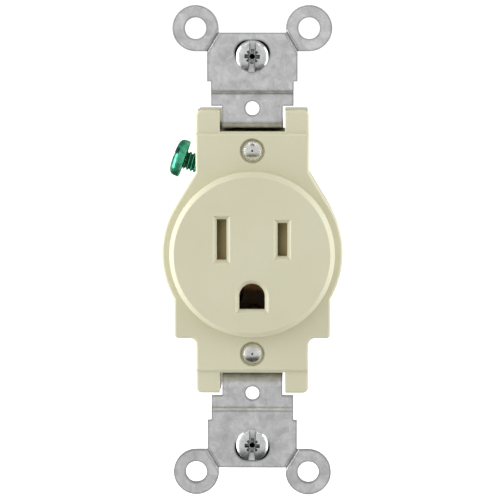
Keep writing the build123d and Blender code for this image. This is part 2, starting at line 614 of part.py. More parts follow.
for end, side in (("top", 1), ("bottom", -1)):
    seat = along_y(-STRAP_T - SEAT_GAP, side * BOX_SCREW_Z)
    box_screw = screw(seat, BOX_HEAD_R, BOX_HEAD_H, BOX_SCREW_R, BOX_SCREW_LENGTH)
    save(box_screw.part, f"mounting_screw_{end}")
    with BuildPart() as washer:
        with BuildSketch(facing(WASHER_GAP + WASHER_T)):
            with Locations((0, side * BOX_SCREW_Z)):
                Circle(WASHER_R)
                Circle(BOX_SCREW_R + THREAD_CLEARANCE, mode=Mode.SUBTRACT)
        extrude(amount=WASHER_T)
    save(washer.part, f"retaining_washer_{end}")

for name, side in (("hot_terminal_screw", 1), ("neutral_terminal_screw", -1)):
    underside_x = TERMINAL_X + CONTACT_T / 2 + SEAT_GAP + TERMINAL_TRAVEL
    seat = Plane((side * underside_x, TERMINAL_Y, TERMINAL_Z), x_dir=(-side, 0, 0), z_dir=(0, 1, 0))
    side_screw = screw(seat, SCREW_HEAD_R, SCREW_HEAD_H, SCREW_R, TERMINAL_SCREW_LENGTH)
    save(side_screw.part, name)

seat = Plane(ground_head + inward * (GROUND_HEAD_H / 2), x_dir=inward, z_dir=across)
ground_screw = screw(seat, SCREW_HEAD_R, GROUND_HEAD_H, SCREW_R, GROUND_SCREW_LENGTH)
save(ground_screw.part, "ground_screw")

# Shutter retainer: a plate with two blade openings and a frame round the slider
with BuildPart() as shutter_retainer:
    with BuildSketch(facing(RETAINER_BACK_Y)):
        with Locations((0, BLADE_Z)):
            RectangleRounded(2 * (FRAME_HALF_X + RIB_T), 2 * (FRAME_HALF_Z + RIB_T), FRAME_CORNER_R)
    extrude(amount=RETAINER_BACK_Y - FACE_Y - FACE_WALL)
    with BuildSketch(facing(RETAINER_Y)):
        with Locations((0, BLADE_Z)):
            Rectangle(2 * FRAME_HALF_X, 2 * FRAME_HALF_Z)
    extrude(amount=RETAINER_Y - FACE_Y - FACE_WALL, mode=Mode.SUBTRACT)
    with BuildSketch(facing(RETAINER_BACK_Y)):
        with Locations((0, BLADE_Z)):
            with GridLocations(2 * BLADE_X, 1, 2, 1):
                Rectangle(SLOT_WIDTH + 1, NEUTRAL_SLOT_HEIGHT + 0.5)
    extrude(amount=RETAINER_T, mode=Mode.SUBTRACT)
save(shutter_retainer.part, "shutter_retainer")

# Shutter slider: each blade lands on a ramp, and both together push it until the windows line up
with BuildPart() as shutter_slider:
    with BuildSketch(facing(SLIDER_FRONT_Y + SLIDER_T)):
        with Locations((SLIDER_LEFT_X, BLADE_Z)):
            Rectangle(
                SLIDER_RIGHT_X - SLIDER_LEFT_X,
                2 * (FRAME_HALF_Z - SLIDE_GAP),
                align=(Align.MIN, Align.CENTER),
            )
        for slot_x in (-BLADE_X, BLADE_X):
            with Locations((slot_x - SHUTTER_TRAVEL, BLADE_Z)):
                Rectangle(WINDOW_WIDTH, NEUTRAL_SLOT_HEIGHT, mode=Mode.SUBTRACT)
    extrude(amount=SLIDER_T)
    with BuildSketch(Plane.XY.offset(BLADE_Z - NEUTRAL_SLOT_HEIGHT / 2)):
        for slot_x in (-BLADE_X, BLADE_X):
            window_edge = slot_x - SHUTTER_TRAVEL + WINDOW_WIDTH / 2
            Polygon(
                (window_edge, SLIDER_FRONT_Y),
                (window_edge + RAMP_LENGTH, SLIDER_FRONT_Y),
                (window_edge, SLIDER_FRONT_Y + RAMP_DEPTH),
                align=None,
            )
    extrude(amount=NEUTRAL_SLOT_HEIGHT, mode=Mode.SUBTRACT)
    with BuildSketch(Plane.YZ.offset(SLIDER_RIGHT_X - SPRING_POCKET)):
        with Locations((SPRING_Y, BLADE_Z)):
            Circle(SPRING_R + 2 * SPRING_WIRE_R)
    extrude(amount=SPRING_POCKET, mode=Mode.SUBTRACT)
save(shutter_slider.part, "shutter_slider")

# The spring between the slider and the frame's right wall
with BuildPart() as shutter_spring:
    spring_start = SLIDER_RIGHT_X - SPRING_POCKET + 2 * SPRING_WIRE_R
    spring_length = FRAME_HALF_X - spring_start - 2 * SPRING_WIRE_R
    with BuildLine() as coil:
        Helix(
            spring_length / SPRING_TURNS,
            spring_length,
            SPRING_R,
            center=(spring_start, SPRING_Y, BLADE_Z),
            direction=(1, 0, 0),
        )
    with BuildSketch(Plane(coil.line @ 0, z_dir=coil.line % 0)):
        Circle(SPRING_WIRE_R)
    sweep(is_frenet=True)
save(shutter_spring.part, "shutter_spring")
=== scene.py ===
"""Looks of the single wall receptacle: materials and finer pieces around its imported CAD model.

Metres in Blender; the lengths named here are millimetres. The frame is the CAD's: X across the
device, Y from the face (-Y) into the wall box (+Y), Z up, origin midway between the box screws.
"""
import math

import bmesh
import bpy
from mathutils import Matrix, Vector

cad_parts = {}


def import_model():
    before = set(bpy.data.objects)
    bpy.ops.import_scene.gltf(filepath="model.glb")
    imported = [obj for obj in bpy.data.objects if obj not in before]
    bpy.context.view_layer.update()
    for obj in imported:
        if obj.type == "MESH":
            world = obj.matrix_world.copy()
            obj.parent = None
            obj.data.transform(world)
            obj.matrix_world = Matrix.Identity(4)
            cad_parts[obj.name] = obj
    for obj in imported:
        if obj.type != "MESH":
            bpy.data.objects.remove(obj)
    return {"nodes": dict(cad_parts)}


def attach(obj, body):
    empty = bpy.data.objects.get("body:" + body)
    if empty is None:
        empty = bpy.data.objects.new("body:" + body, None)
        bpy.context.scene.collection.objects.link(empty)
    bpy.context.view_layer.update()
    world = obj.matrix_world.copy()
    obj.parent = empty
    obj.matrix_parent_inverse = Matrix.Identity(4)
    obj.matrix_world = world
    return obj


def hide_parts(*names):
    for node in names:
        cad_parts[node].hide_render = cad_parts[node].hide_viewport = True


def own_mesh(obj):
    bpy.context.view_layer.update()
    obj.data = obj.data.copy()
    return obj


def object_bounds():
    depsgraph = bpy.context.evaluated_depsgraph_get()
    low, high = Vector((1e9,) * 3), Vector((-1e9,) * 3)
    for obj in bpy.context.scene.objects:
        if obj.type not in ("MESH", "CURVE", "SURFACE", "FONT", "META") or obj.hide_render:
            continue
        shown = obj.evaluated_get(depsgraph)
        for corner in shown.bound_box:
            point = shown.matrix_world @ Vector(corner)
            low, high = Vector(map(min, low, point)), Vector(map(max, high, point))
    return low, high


MM = 0.001

# Screws and rivets: places and sizes are the CAD's, with shanks 0.01 mm thinner
THREAD_PITCH, THREAD_DEPTH = 0.794, 0.44
BOX_SCREW_Z, BOX_SEAT_Y, BOX_HEAD_R, BOX_HEAD_H = 41.0, -1.25, 3.4, 1.7
BOX_SHANK_R, BOX_SCREW_LENGTH = 1.74, 19.0
SIDE_SEAT_X, SIDE_Y, SIDE_Z = 14.3, 11.0, -14.2
SIDE_HEAD_R, SIDE_HEAD_H, SIDE_SHANK_R, SIDE_LENGTH = 4.02, 2.1, 2.04, 6.0
GREEN_TILT = math.radians(20)
GREEN_HEAD = Vector((-15.85, 9.4, 19.4))  # the middle of the green screw's head
GREEN_HEAD_H, GREEN_LENGTH = 2.5, 7.5
RIVET_ZS, RIVET_SEAT_Y = (21.28, -21.58), -1.0
RIVET_HEAD_R, RIVET_HEAD_H, RIVET_SHANK_R = 2.3, 1.1, 1.54
RIVET_TAIL_Y, RIVET_TAIL_R, RIVET_TAIL_H, RIVET_ROLL_R = 22.8, 2.2, 0.7, 0.3
PUNCH_MARK = ((0.45, 0.0), (0.40, 0.10), (0.07, 0.22))  # depth below the crown, radius

# Head shapes: the upright brim, and how full the dome above it is (1 is an oval, less is squarer)
BOX_BRIM, BOX_FULLNESS = 0.6, 1.0
SIDE_BRIM, SIDE_FULLNESS = 0.4, 0.55
CUT_EDGE = 0.08  # the rounding where a drive is cut into a head

# Drives: a slot is (width, depth), a bar of the crossed recess is (width, reach, depth)
BOX_SLOT, BOX_CROSS, BOX_STAR = (1.4, 0.75), (1.1, 1.75, 1.15), (0.7, 1.6, 0.9)
BOX_BARS = ((BOX_CROSS, 0), (BOX_CROSS, 90), (BOX_STAR, 45), (BOX_STAR, -45))  # bar, degrees
BOX_WELL_R, BOX_WELL_DEPTH = 0.62, 1.5
SIDE_SLOT, SIDE_CROSS = (1.4, 0.95), (0.9, 1.9, 1.4)
SIDE_BARS = ((SIDE_CROSS, 0), (SIDE_CROSS, 90))
# How far each slot is turned, in degrees: from upright in a box screw, from the depth in a side one
BOX_TOP_TURN, BOX_BOTTOM_TURN, SIDE_TURN, GREEN_TURN = 3, 2, 8, -25

# Shutter spring: a coil between the slider and the frame's right wall
SPRING_FIXED_X, SPRING_START_X, SPRING_Y, SPRING_Z = 12.58, 7.75, -2.1, 2.9
SPRING_R, SPRING_WIRE_R, SPRING_TURNS, SHUTTER_TRAVEL = 0.85, 0.13, 4.5, 3.0
SPRING_CLOSED_TURNS = 0.75  # how much of a turn closes up at each end
SPRING_CLOSED_PITCH = 0.12  # the pitch at the very ends, on a scale where the middle's is 1.12

# Camera: distance in metres, lens and sensor in millimetres, and the picture's shift in pixels
CAMERA_DISTANCE = 0.5
CAMERA_AZIMUTH, CAMERA_ELEVATION = math.radians(1.04), math.radians(5.13)
CAMERA_LENS, CAMERA_SENSOR = 170.65, 36.0
IMAGE_SIDE = 500
SHIFT_RIGHT_PX, SHIFT_DOWN_PX = 2.4, 1.4

# The surroundings' strength: at the front, at the back, from below and from above
LIGHT_FRONT, LIGHT_BACK = 0.58, 0.95
LIGHT_BELOW, LIGHT_ABOVE = 1.25, 1.15
SHINE_FRONT, SHINE_BACK = 0.64, 0.20  # what glossy surfaces see, darker behind the object
SHINE_BELOW, SHINE_ABOVE = 0.08, 0.95  # and much darker steeply below it
CAMERA_WHITE = 1.1  # what the camera sees behind everything

# Softboxes, all aimed at the origin: name, place and sides in metres, and watts
SOFTBOXES = (
    ("softbox_left", (-0.60, -0.08, 0.03), (0.30, 0.8), 4.6),
    ("softbox_right", (0.60, -0.08, 0.03), (0.30, 0.8), 2.8),
    ("softbox_top", (0.0, -0.42, 0.50), (0.6, 0.25), 0.6),
)

# Dark cards, facing the origin: name, direction, then distance, width and height in metres
DARK_CARDS = (
    ("card_above", (0.0, -0.68, 0.73), 0.5, 0.34, 0.16),
    ("card_camera", (0.01, -1.0, 0.08), 0.55, 0.05, 0.05),
)
# Floor: half its side and its gap below the lowest ears in metres, and how strongly it glows
FLOOR_HALF_SIDE, FLOOR_GAP, FLOOR_GLOW = 4.0, 0.0005, 0.6

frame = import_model()
cad_low, cad_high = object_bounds()


# ---------------------------------------------------------------- materials


class Surface:
    """A node material: one Principled shader, fed by textures in the object's own coordinates."""

    def __init__(self, name, **sockets):
        self.data = bpy.data.materials.new(name)
        self.data.use_nodes = True
        self.tree = self.data.node_tree
        self.shader = self.tree.nodes["Principled BSDF"]
        for socket, value in sockets.items():
            self.shader.inputs[socket.replace("_", " ")].default_value = value
        self.place = self.node("ShaderNodeTexCoord").outputs["Object"]
        self.height = None

    def node(self, kind, **settings):
        """A new node with some of its properties set."""
        made = self.tree.nodes.new(kind)
        for key, value in settings.items():
            setattr(made, key, value)
        return made

    def feed(self, socket, source):
        """Links source to socket, or sets socket where source is a plain value."""
        if isinstance(source, bpy.types.NodeSocket):
            self.tree.links.new(source, socket)
        else:
            socket.default_value = source

    def stretched(self, scale):
        """The object's coordinates, stretched by scale along each axis."""
        mapping = self.node("ShaderNodeMapping")
        self.feed(mapping.inputs["Vector"], self.place)
        mapping.inputs["Scale"].default_value = scale
        return mapping.outputs["Vector"]

    def noise(self, size, detail=3.0, rough=0.5, scale=(1, 1, 1), distortion=0.0):
        """Noise whose lumps are about size millimetres across."""
        made = self.node("ShaderNodeTexNoise")
        self.feed(made.inputs["Vector"], self.stretched(scale))
        made.inputs["Scale"].default_value = 1 / (size * MM)
        made.inputs["Detail"].default_value = detail
        made.inputs["Roughness"].default_value = rough
        made.inputs["Distortion"].default_value = distortion
        return made.outputs["Fac"]

    def cells(self, size):
        """A random level for each crystal-like cell about size millimetres across."""
        made = self.node("ShaderNodeTexVoronoi")
        self.feed(made.inputs["Vector"], self.place)
        made.inputs["Scale"].default_value = 1 / (size * MM)
        grey = self.node("ShaderNodeSeparateColor")
        self.feed(grey.inputs["Color"], made.outputs["Color"])
        return grey.outputs["Red"]

    def span(self, source, low, high, to_low=0.0, to_high=1.0):
        """source between low and high, spread over to_low to to_high and held at its ends."""
        made = self.node("ShaderNodeMapRange")
        values = (low, high, to_low, to_high)
        for socket, value in zip(("From Min", "From Max", "To Min", "To Max"), values):
            made.inputs[socket].default_value = value
        self.feed(made.inputs["Value"], source)
        return made.outputs["Result"]

    def math(self, operation, first, second):
        """The result of one operation on two values or sockets."""
        made = self.node("ShaderNodeMath", operation=operation)
        self.feed(made.inputs[0], first)
        self.feed(made.inputs[1], second)
        return made.outputs["Value"]

    def mix(self, share, first, second):
        """Colour first where share is 0, second where it is 1."""
        made = self.node("ShaderNodeMix", data_type="RGBA")
        self.feed(made.inputs["Factor"], share)
        for socket, colour in zip(("A", "B"), (first, second)):
            target = next(s for s in made.inputs if s.name == socket and s.type == "RGBA")
            if isinstance(colour, tuple):
                colour = (*colour, 1.0) if len(colour) == 3 else colour
            self.feed(target, colour)
        return next(s for s in made.outputs if s.type == "RGBA")

    def edges(self, radius, low=0.02, high=0.25):
        """1 along sharp edges, in a band about a third of radius millimetres wide, else 0."""
        soft = self.node("ShaderNodeBevel", samples=4)
        soft.inputs["Radius"].default_value = radius * MM
        flat = self.node("ShaderNodeNewGeometry").outputs["Normal"]
        dot = self.node("ShaderNodeVectorMath", operation="DOT_PRODUCT")
        self.feed(dot.inputs[0], soft.outputs["Normal"])
        self.feed(dot.inputs[1], flat)
        turned = self.math("SUBTRACT", 1.0, dot.outputs["Value"])
        return self.span(turned, low, high)

    def hollows(self, distance):
        """1 deep in a recess about distance millimetres across, 0 on open surface."""
        made = self.node("ShaderNodeAmbientOcclusion", samples=8, only_local=True)
        made.inputs["Distance"].default_value = distance * MM
        return self.span(made.outputs["AO"], 0.45, 0.92, 1.0, 0.0)

    def colour(self, source):
        self.feed(self.shader.inputs["Base Color"], source)

    def roughness(self, source):
        self.feed(self.shader.inputs["Roughness"], source)

    def bump(self, source, depth):
        """Adds relief: source runs from 0 to 1 and stands for depth millimetres."""
        made = self.node("ShaderNodeBump")
        made.inputs["Distance"].default_value = depth * MM
        self.feed(made.inputs["Height"], source)
        if self.height:
            self.feed(made.inputs["Normal"], self.height)
        self.height = made.outputs["Normal"]
        self.feed(self.shader.inputs["Normal"], self.height)


def moulded_plastic(name, light, dark, rough=(0.34, 0.5), grain=0.006, edge=None, **sockets):
    """Moulded plastic: slow colour drift, fine mould grain, handling smudges and paler edges."""
    made = Surface(name, **sockets)
    drift = made.span(made.noise(14.0, 2.0), 0.35, 0.65)
    speck = made.span(made.noise(0.6, 4.0, 0.6), 0.3, 0.7)
    tone = made.mix(drift, dark, light)
    speckled = tuple(0.94 * channel for channel in dark)
    tone = made.mix(made.math("MULTIPLY", speck, 0.22), tone, speckled)
    if edge:
        tone = made.mix(made.math("MULTIPLY", made.edges(0.25), 0.5), tone, edge)
    made.colour(tone)
    smudge = made.noise(5.0, 5.0, 0.6, distortion=0.6)
    made.roughness(made.span(smudge, 0.3, 0.7, rough[0], rough[1]))
    made.bump(made.noise(0.22, 3.0, 0.6), grain)
    made.bump(made.noise(6.0, 1.0), 0.02)
    return made


def rolled_metal(name, light, dark, edge, rough=(0.3, 0.5), patch=2.5, lit_mouth=None, **sockets):
    """Sheet metal: soft mottle, fine specks and scuffs in the plating, and edges in their own colour.

    lit_mouth gives the two heights between which the tone turns to a painted highlight colour, and
    that colour.
    """
    made = Surface(name, Metallic=1.0, **sockets)
    mottle = made.noise(patch, 5.0, 0.62, distortion=0.4)
    spangle = made.cells(patch * 0.55)
    level = made.math("ADD", made.math("MULTIPLY", mottle, 0.8), made.math("MULTIPLY", spangle, 0.2))
    tone = made.mix(made.span(level, 0.3, 0.72), dark, light)
    speck = made.noise(0.42, 3.0, 0.55)
    tone = made.mix(made.math("MULTIPLY", made.span(speck, 0.60, 0.72), 0.7), tone, dark)
    tone = made.mix(made.math("MULTIPLY", made.span(speck, 0.40, 0.29), 0.7), tone, light)
    scratch = made.span(made.noise(0.9, 2.0, 0.4, scale=(1.0, 1.0, 9.0)), 0.66, 0.72)
    tone = made.mix(made.math("MULTIPLY", scratch, 0.35), tone, dark)
    # painted highlight: above a height the tone turns bright, for light caught near the mouth of a
    # hole
    if lit_mouth:
        (low, high), mouth_highlight = lit_mouth
        sway = 1.2  # how uneven the border is
        parts = made.node("ShaderNodeSeparateXYZ")
        made.feed(parts.inputs["Vector"], made.place)
        uneven = made.math("MULTIPLY", made.noise(sway, 2.0), sway * MM)
        height = made.math("ADD", parts.outputs["Z"], uneven)
        border = made.span(height, (low + sway / 2) * MM, (high + sway / 2) * MM)
        tone = made.mix(border, tone, mouth_highlight)
    # edge colour: pale on brass and spring; dark on the strap, for its sheared edges and as painted
    # shade along its grooves
    tone = made.mix(made.math("MULTIPLY", made.edges(0.65, 0.003, 0.05), 0.7), tone, edge)
    made.colour(tone)
    made.roughness(made.span(made.noise(patch * 0.7, 4.0, 0.6), 0.3, 0.7, rough[0], rough[1]))
    made.bump(made.noise(0.35, 4.0, 0.6), 0.014)
    made.bump(made.noise(patch * 1.6, 2.0), 0.04)
    made.bump(scratch, -0.008)
    return made


IVORY = moulded_plastic(
    "ivory_plastic",
    light=(0.640, 0.622, 0.455),
    dark=(0.615, 0.594, 0.428),
    edge=(0.70, 0.68, 0.53),
    IOR=1.49,
    Specular_IOR_Level=0.5,
)
IVORY_BACK = moulded_plastic(
    "ivory_back_plastic",
    light=(0.600, 0.575, 0.415),
    dark=(0.560, 0.535, 0.380),
    rough=(0.45, 0.62),
    grain=0.012,
    edge=(0.66, 0.62, 0.49),
)
SHUTTER = moulded_plastic(
    "shutter_plastic", light=(0.50, 0.405, 0.200), dark=(0.42, 0.335, 0.160), rough=(0.4, 0.55)
)
RETAINER = moulded_plastic(
    "retainer_plastic", light=(0.11, 0.10, 0.075), dark=(0.08, 0.072, 0.055), rough=(0.5, 0.65)
)
WASHER = moulded_plastic(
    "black_washer",
    light=(0.014, 0.014, 0.014),
    dark=(0.008, 0.008, 0.008),
    rough=(0.6, 0.8),
    grain=0.02,
)
GALVANISED = rolled_metal(
    "galvanised_steel",
    light=(0.91, 0.91, 0.91),
    dark=(0.62, 0.62, 0.625),
    # dark edge colour: the sheared edges' own colour, and painted shade along the ears' grooves
    edge=(0.12, 0.12, 0.125),
    rough=(0.38, 0.55),
)
CONTACT = rolled_metal(
    "contact_brass",
    light=(0.80, 0.47, 0.22),
    dark=(0.55, 0.27, 0.11),
    edge=(0.88, 0.60, 0.32),
    rough=(0.25, 0.42),
)
# Painted shade and a painted highlight: brass darkened for the contact deep in the ground hole,
# bright orange above a height near the hole's top
GROUND_CONTACT_SHADED = rolled_metal(
    "ground_contact_brass_painted_shade",
    light=(0.34, 0.24, 0.15),
    dark=(0.22, 0.15, 0.09),
    edge=(0.40, 0.30, 0.20),
    rough=(0.35, 0.5),
    lit_mouth=((-10.6, -9.8), (0.95, 0.50, 0.20)),
)
SPRING = rolled_metal(
    "spring_steel",
    light=(0.60, 0.60, 0.62),
    dark=(0.42, 0.42, 0.44),
    edge=(0.7, 0.7, 0.7),
    rough=(0.22, 0.35),
    patch=0.8,
)


def plated_metal(name, light, dark, edge_wear_and_shade, recess_shade, rough=(0.2, 0.34), pit=1.1, **sockets):
    """Plated turned metal: bright, with pits, edges in their own colour and painted shade in its
    slots and recesses.
    """
    made = Surface(name, Metallic=1.0, **sockets)
    patch = 1.2
    cloud = made.span(made.noise(patch, 4.0, 0.6), 0.3, 0.7)
    tone = made.mix(cloud, dark, light)
    # edge colour: paler wear on the brass and green screws, painted shade as dark outlines on the
    # zinc screws and rivets
    tone = made.mix(made.math("MULTIPLY", made.edges(0.1), 0.5), tone, edge_wear_and_shade)
    # painted shade: slots, recesses and hollows darkened by their ambient occlusion
    tone = made.mix(made.math("MULTIPLY", made.hollows(pit), 0.92), tone, recess_shade)
    made.colour(tone)
    made.roughness(made.span(made.noise(patch * 0.8, 5.0, 0.6), 0.3, 0.7, rough[0], rough[1]))
    made.bump(made.noise(0.25, 4.0, 0.55), 0.01)
    made.bump(made.noise(patch, 2.0), 0.03)
    return made


RIVET_STEEL = plated_metal(
    "rivet_steel",
    light=(0.92, 0.92, 0.88),
    dark=(0.76, 0.76, 0.72),
    # dark edge colour and recess colour: painted shade round the head's rim and in the punch mark
    edge_wear_and_shade=(0.36, 0.35, 0.28),
    recess_shade=(0.10, 0.09, 0.07),
    rough=(0.2, 0.32),
    pit=0.4,
)
ZINC = plated_metal(
    "zinc_screw",
    light=(0.92, 0.93, 0.93),
    dark=(0.66, 0.67, 0.67),
    # dark edge colour and recess colour: painted shade along the slot flanks and deep in the recess
    edge_wear_and_shade=(0.30, 0.30, 0.30),
    recess_shade=(0.04, 0.04, 0.037),
    pit=1.6,
)
BRASS_SCREW = plated_metal(
    "brass_screw",
    light=(0.86, 0.66, 0.32),
    dark=(0.66, 0.46, 0.18),
    edge_wear_and_shade=(0.93, 0.78, 0.48),
    # recess colour: painted shade in the drive's slots and recess
    recess_shade=(0.14, 0.09, 0.03),
)
GREEN = plated_metal(
    "green_screw",
    light=(0.16, 0.70, 0.46),
    dark=(0.03, 0.30, 0.17),
    edge_wear_and_shade=(0.34, 0.80, 0.60),
    # recess colour: painted shade in the drive's slots and recess
    recess_shade=(0.006, 0.05, 0.03),
    rough=(0.34, 0.48),
)


# ---------------------------------------------------------------- meshes


def add_object(name, mesh, body, surface, stands_for=None):
    """Puts a mesh in the scene as a named piece that rides on a body."""
    made = bpy.data.objects.new(name, mesh)
    bpy.context.scene.collection.objects.link(made)
    mesh.materials.clear()
    mesh.materials.append(surface.data)
    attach(made, body)
    if stands_for:
        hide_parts(stands_for)
    return made


def mesh_from(name, build, smooth_below=math.radians(35)):
    """A mesh made by build(bm), with its normals outward and smooth below an angle."""
    bm = bmesh.new()
    build(bm)
    bmesh.ops.remove_doubles(bm, verts=bm.verts, dist=1e-7)
    bmesh.ops.recalc_face_normals(bm, faces=bm.faces)
    made = bpy.data.meshes.new(name)
    bm.to_mesh(made)
    bm.free()
    made.shade_smooth()
    made.set_sharp_from_angle(angle=smooth_below)
    return made


def place(seat, axis, roll_axis):
    """The matrix that takes local x along axis and local y along roll_axis, from seat, in metres."""
    x = Vector(axis).normalized()
    z = x.cross(Vector(roll_axis)).normalized()
    y = z.cross(x)
    turned = Matrix((x, y, z)).transposed().to_4x4()
    turned.translation = Vector(seat) * MM
    return turned


def arc(centre, radius, start, stop, steps):
    """Points of a round corner as (along, radius), from start to stop in degrees."""
    points = []
    for step in range(steps + 1):
        angle = math.radians(start + (stop - start) * step / steps)
        points.append((centre[0] + radius * math.cos(angle), centre[1] + radius * math.sin(angle)))
    return points


def lathe(bm, profile, segments=96):
    """Turns a profile of (along, radius) points round local x, closing it where the radius is 0."""
    rings = []
    for along, radius in profile:
        if radius < 1e-6:
            rings.append([bm.verts.new((along * MM, 0, 0))])
            continue
        ring = []
        for index in range(segments):
            angle = 2 * math.pi * index / segments
            point = (along, radius * math.cos(angle), radius * math.sin(angle))
            ring.append(bm.verts.new(Vector(point) * MM))
        rings.append(ring)
    for first, second in zip(rings, rings[1:]):
        for index in range(segments):
            following = (index + 1) % segments
            corners = [
                first[index % len(first)],
                first[following % len(first)],
                second[following % len(second)],
                second[index % len(second)],
            ]
            unique = list(dict.fromkeys(corners))
            if len(unique) > 2:
                bm.faces.new(unique)


def tube(bm, rings):
    """Skins equal rings of vertices one after another and closes both ends."""
    for first, second in zip(rings, rings[1:]):
        for index in range(len(first)):
            following = (index + 1) % len(first)
            bm.faces.new((first[index], first[following], second[following], second[index]))
    bm.faces.new(rings[0])
    bm.faces.new(reversed(rings[-1]))


def thread(bm, start, length, radius, segments=44, per_pitch=12, tip=1.0):
    """A threaded shank along local x: its groove starts gently and its tip is tapered."""
    rings = []
    count = int(length / THREAD_PITCH * per_pitch)
    for step in range(count + 1):
        along = length * step / count
        ring = []
        for index in range(segments):
            turn = index / segments
            phase = (along / THREAD_PITCH - turn) % 1.0
            slope = abs(2 * phase - 1) * 1.35 - 0.17
            ridge = min(max(slope, 0.0), 1.0)  # held flat at the root and at the crest
            fade = min(1.0, along / (0.5 * THREAD_PITCH))
            depth = THREAD_DEPTH * (1 - ridge) * fade
            to_end = length - along
            taper = max(0.0, 1 - to_end / tip) * 0.45 * radius
            reach = radius - max(depth, taper)
            angle = 2 * math.pi * turn
            point = (start + along, reach * math.cos(angle), reach * math.sin(angle))
            ring.append(bm.verts.new(Vector(point) * MM))
        rings.append(ring)
    tube(bm, rings)


def block(bm, low, high, turn, taper=0.0):
    """A box from low to high, turned about local x, its +x end drawn in by taper."""
    corners = []
    for x in (low[0], high[0]):
        shrink = taper if x == high[0] else 0.0
        for y, z in ((low[1], low[2]), (high[1], low[2]), (high[1], high[2]), (low[1], high[2])):
            point = Vector((x, y - math.copysign(shrink, y), z - math.copysign(shrink, z)))
            point.rotate(Matrix.Rotation(turn, 3, "X"))
            corners.append(bm.verts.new(point * MM))
    sides = ((0, 1, 2, 3), (7, 6, 5, 4), (0, 4, 5, 1), (1, 5, 6, 2), (2, 6, 7, 3), (3, 7, 4, 0))
    for side in sides:
        bm.faces.new([corners[index] for index in side])


def cut(mesh, cutters):
    """The mesh less every cutter mesh, with its sharp edges rounded by CUT_EDGE."""
    body = bpy.data.objects.new("cut_body", mesh)
    bpy.context.scene.collection.objects.link(body)
    tools = []
    for cutter in cutters:
        tool = bpy.data.objects.new("cut_tool", cutter)
        bpy.context.scene.collection.objects.link(tool)
        tools.append(tool)
        step = body.modifiers.new("cut", "BOOLEAN")
        step.object = tool
        step.operation = "DIFFERENCE"
        step.solver = "EXACT"
    rounding = body.modifiers.new("round", "BEVEL")
    rounding.width = CUT_EDGE * MM
    rounding.segments = 3
    rounding.limit_method = "ANGLE"
    rounding.angle_limit = math.radians(38)
    bpy.context.view_layer.update()
    evaluated = body.evaluated_get(bpy.context.evaluated_depsgraph_get())
    made = bpy.data.meshes.new_from_object(evaluated)
    for leftover in (body, *tools):
        data = leftover.data
        bpy.data.objects.remove(leftover)
        bpy.data.meshes.remove(data)
    return made


def slot_cutter(head_r, head_h, width, depth, turn):
    """A driver slot right across a head whose top is at local x = -head_h."""

    def build(bm):
        low = (-head_h - 1, -head_r - 1, -width / 2)
        high = (-head_h + depth, head_r + 1, width / 2)
        block(bm, low, high, turn)

    return mesh_from("slot", build)


def recess_cutter(head_h, width, reach, depth, turn):
    """One bar of a crossed recess, tapering inward."""

    def build(bm):
        low = (-head_h - 1, -reach, -width / 2)
        high = (-head_h + depth, reach, width / 2)
        block(bm, low, high, turn, taper=0.25 * width)

    return mesh_from("recess", build)


def well_cutter(head_h, radius, depth):
    """The round well at the middle of a recess."""
    top, floor_at = -head_h - 1, depth - head_h
    profile = [(top, 0.0), (top, radius), (floor_at, 0.9 * radius), (floor_at, 0.0)]
    return mesh_from("well", lambda bm: lathe(bm, profile, 32))


def drive_cutters(head_r, head_h, slot, bars, turn):
    """The cutters of a slot right across a head and of the crossed recess in its middle."""
    cutters = [slot_cutter(head_r, head_h, *slot, turn)]
    for bar, bar_turn in bars:
        cutters.append(recess_cutter(head_h, *bar, turn + math.radians(bar_turn)))
    return cutters


def pan_profile(head_r, head_h, brim, fullness, steps=20):
    """A pan head's profile: a dome on an upright brim."""
    rise = head_h - brim
    dome = []
    for step in range(1, steps):
        angle = math.radians(90 * step / steps)
        along = -brim - rise * math.cos(angle) ** fullness
        dome.append((along, head_r * math.sin(angle) ** fullness))
    return [
        (-head_h, 0.0),
        *dome,
        (-brim, head_r),
        (-0.3 * brim, head_r),
        (0.0, 0.96 * head_r),
        (0.0, 0.0),
    ]


def screw_head(head_r, head_h, brim, fullness, cutters):
    """A pan head with its drive cut into it."""
    profile = pan_profile(head_r, head_h, brim, fullness)
    return cut(mesh_from("blank", lambda bm: lathe(bm, profile)), cutters)


def screw_mesh(name, head, shank_r, length, placing):
    """A head and its threaded shank as one mesh, placed in the frame."""
    root = 0.2  # how far the shank starts inside the head
    bm = bmesh.new()
    thread(bm, -root, length + root, shank_r)
    bmesh.ops.recalc_face_normals(bm, faces=bm.faces)
    bm.from_mesh(head)
    bm.transform(placing)
    made = bpy.data.meshes.new(name)
    bm.to_mesh(made)
    bm.free()
    made.shade_smooth()
    made.set_sharp_from_angle(angle=math.radians(32))
    bpy.data.meshes.remove(head)
    return made


# ---------------------------------------------------------------- pieces


def box_screw(end, side, slot_turn):
    """One of the two long screws into the wall box, with a round well in its combination drive."""
    turn = math.radians(slot_turn)
    cutters = drive_cutters(BOX_HEAD_R, BOX_HEAD_H, BOX_SLOT, BOX_BARS, turn)
    cutters.append(well_cutter(BOX_HEAD_H, BOX_WELL_R, BOX_WELL_DEPTH))
    head = screw_head(BOX_HEAD_R, BOX_HEAD_H, BOX_BRIM, BOX_FULLNESS, cutters)
    seat = place((0, BOX_SEAT_Y, side * BOX_SCREW_Z), (0, 1, 0), (0, 0, 1))
    name = f"box_screw_{end}_threaded"
    mesh = screw_mesh(name, head, BOX_SHANK_R, BOX_SCREW_LENGTH, seat)
    add_object(name, mesh, f"box_screw_{end}", ZINC, f"mounting_screw_{end}")


